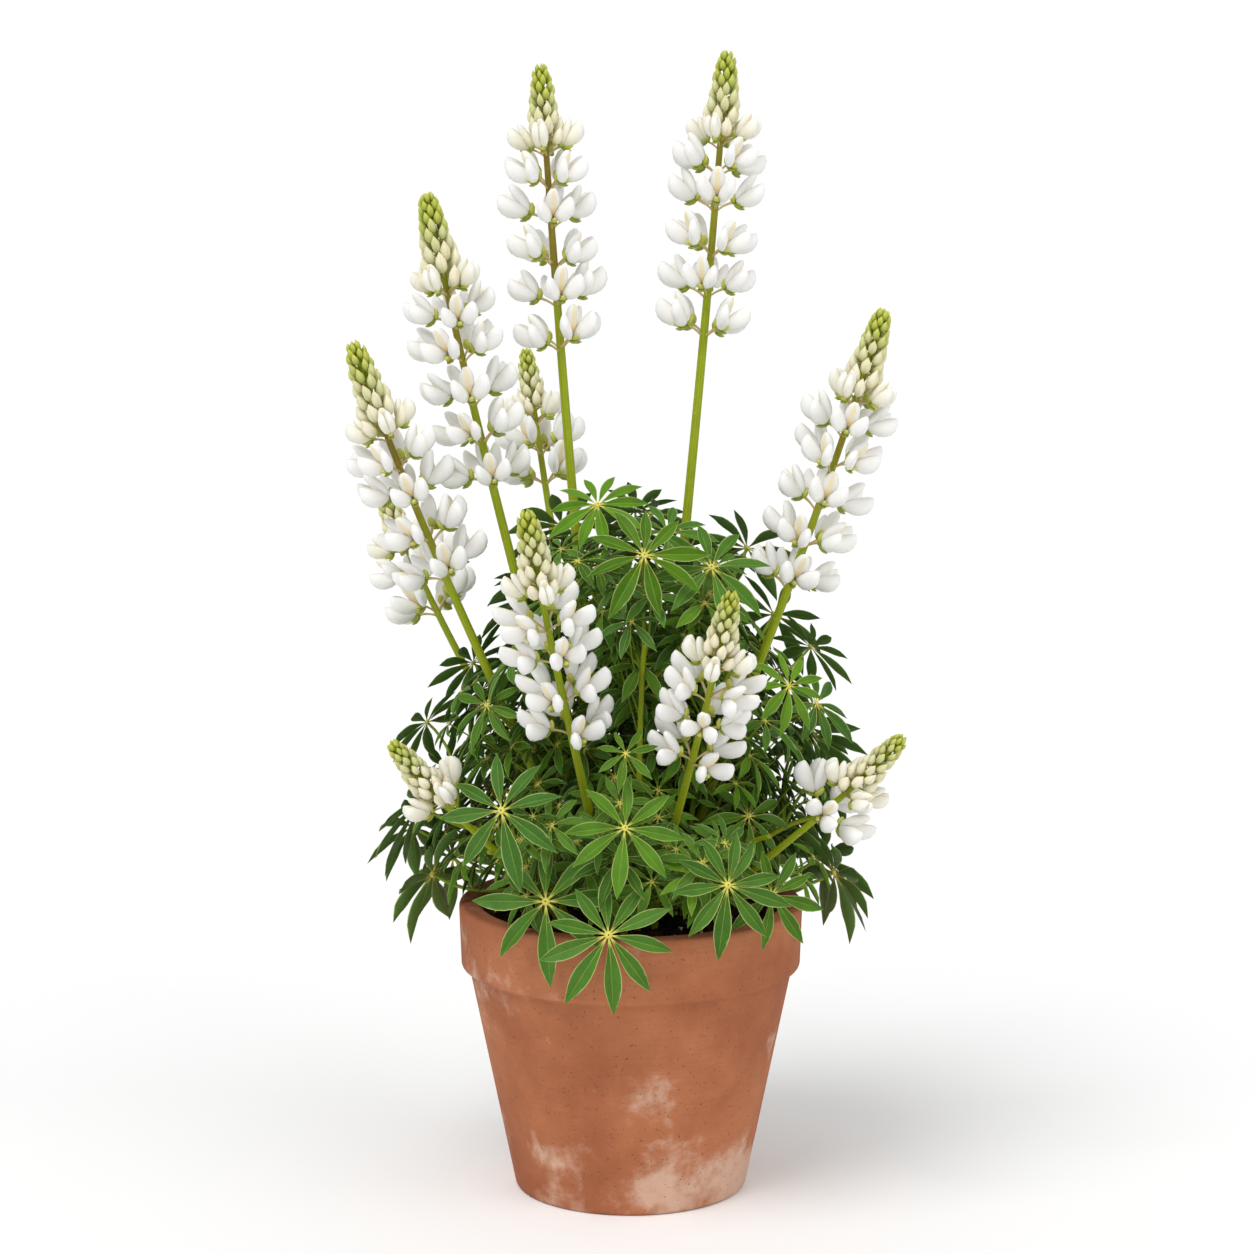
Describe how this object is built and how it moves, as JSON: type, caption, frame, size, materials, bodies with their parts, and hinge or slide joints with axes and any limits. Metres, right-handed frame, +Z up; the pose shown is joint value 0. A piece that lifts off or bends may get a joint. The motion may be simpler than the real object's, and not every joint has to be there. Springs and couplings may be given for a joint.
{
  "type": "potted lupine",
  "caption": "White-flowered lupine with upright flower spikes and palmate leaves, growing in soil in a plain clay pot.",
  "frame": {"origin": "centre of the pot's flat underside", "axes": "+Z up out of the pot, the plant seen from -Y as in the picture, +X to its right"},
  "size_m": [0.2889, 0.236, 0.606],
  "materials": {
    "clay": "unglazed, matte",
    "soil": "crumbly, matte",
    "flowers": "soft petals on green stems",
    "foliage": "satin leaves"
  },
  "bodies": {
    "root": {"clay_pot": "clay", "soil": "soil", "flower_stem_01": "flowers", "flower_stem_02": "flowers", "flower_stem_03": "flowers", "flower_stem_04": "flowers", "flower_stem_05": "flowers", "flower_stem_06": "flowers", "flower_stem_07": "flowers", "flower_stem_08": "flowers", "flower_stem_09": "flowers", "flower_stem_10": "flowers", "flower_stem_11": "flowers", "leafy_stem_01": "foliage", "leafy_stem_02": "foliage", "leafy_stem_03": "foliage", "leafy_stem_04": "foliage", "leafy_stem_05": "foliage", "leafy_stem_06": "foliage", "leafy_stem_07": "foliage", "leafy_stem_08": "foliage", "leafy_stem_09": "foliage", "leafy_stem_10": "foliage", "leafy_stem_11": "foliage", "leafy_stem_12": "foliage"}
  },
  "joints": []
}
